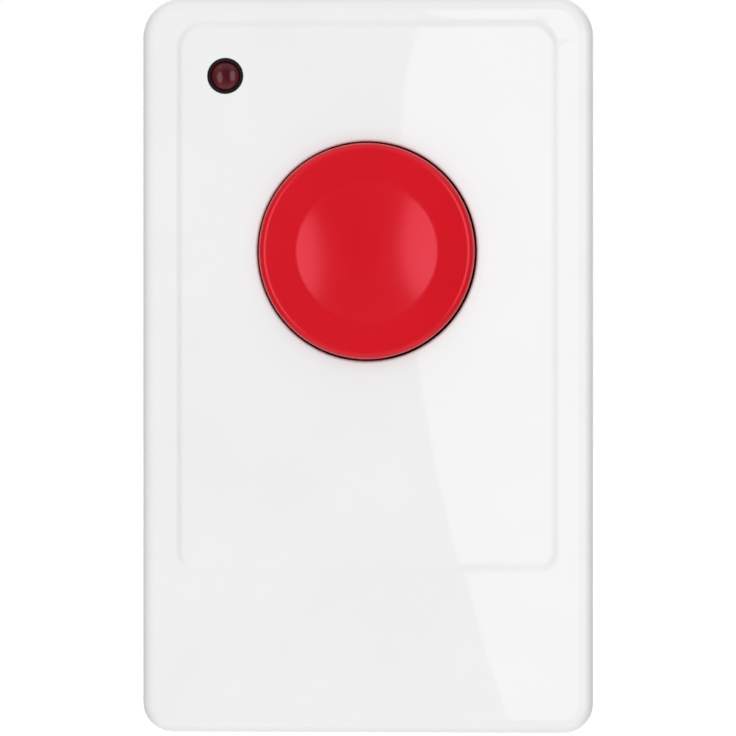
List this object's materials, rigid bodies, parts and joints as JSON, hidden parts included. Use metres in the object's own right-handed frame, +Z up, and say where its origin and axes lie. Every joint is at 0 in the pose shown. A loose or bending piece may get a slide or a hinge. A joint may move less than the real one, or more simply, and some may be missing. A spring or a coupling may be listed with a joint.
{
  "type": "wireless panic button",
  "caption": "Upright white wall case with a raised panel, a large dished red push button, a small status lamp and a sliding battery door.",
  "frame": {"origin": "centre of the flat back face, on the plane of the wall", "axes": "+Z up the wall, +X to the right as seen from the front, +Y into the wall; the button faces -Y"},
  "size_m": [0.049, 0.0195, 0.08],
  "materials": {
    "case_plastic": "soft gloss, white",
    "button_plastic": "gloss, red",
    "spring_steel": "drawn wire",
    "switch_plastic": "moulded, black",
    "plated_steel": "plated sheet",
    "tinned_metal": "tinned",
    "lamp_lens": "clear gloss, dark red, unlit",
    "holder_plastic": "moulded, black",
    "board_laminate": "green solder mask",
    "chip_resin": "moulded resin, black",
    "capacitor_ceramic": "fired ceramic, tan",
    "resistor_ceramic": "glazed, black",
    "can_aluminium": "drawn can",
    "cell_wrap": "printed wrap, plain",
    "contact_metal": "nickel plated sheet",
    "screw_steel": "zinc plated"
  },
  "bodies": {
    "housing": {"front_cover": "case_plastic", "rear_cover": "case_plastic", "button_spring": "spring_steel", "switch_base": "switch_plastic", "switch_cover": "plated_steel", "switch_terminals": "tinned_metal", "led_lens": "lamp_lens", "led_leads": "tinned_metal", "led_holder": "holder_plastic", "circuit_board": "board_laminate", "loop_aerial": "tinned_metal", "encoder_chip": "chip_resin", "encoder_leads": "tinned_metal", "saw_resonator": "plated_steel", "rf_transistor": "chip_resin", "chip_capacitors": "capacitor_ceramic", "chip_resistors": "resistor_ceramic", "electrolytic_capacitor": "can_aluminium", "battery": "cell_wrap", "negative_contact": "contact_metal", "positive_contact": "contact_metal", "case_screws": "screw_steel"},
    "button": {"button_cap": "button_plastic"},
    "plunger": {"switch_plunger": "switch_plastic"},
    "door": {"battery_door": "case_plastic"}
  },
  "joints": [
    {"name": "button_press", "type": "slide", "parent": "housing", "child": "button", "axis": [0, 1, 0], "range_m": [0, 0.0008], "stiffness_N_per_m": 500, "springref_m": -0.002, "deforming": ["button_spring"]},
    {"name": "plunger_press", "type": "slide", "parent": "housing", "child": "plunger", "axis": [0, 1, 0], "range_m": [0, 0.0008]},
    {"name": "door_slide", "type": "slide", "parent": "housing", "child": "door", "axis": [0, 0, -1], "range_m": [0, 0.02]}
  ],
  "couplings": [
    {"joint": "plunger_press", "follows": "button_press", "ratio": 1}
  ]
}
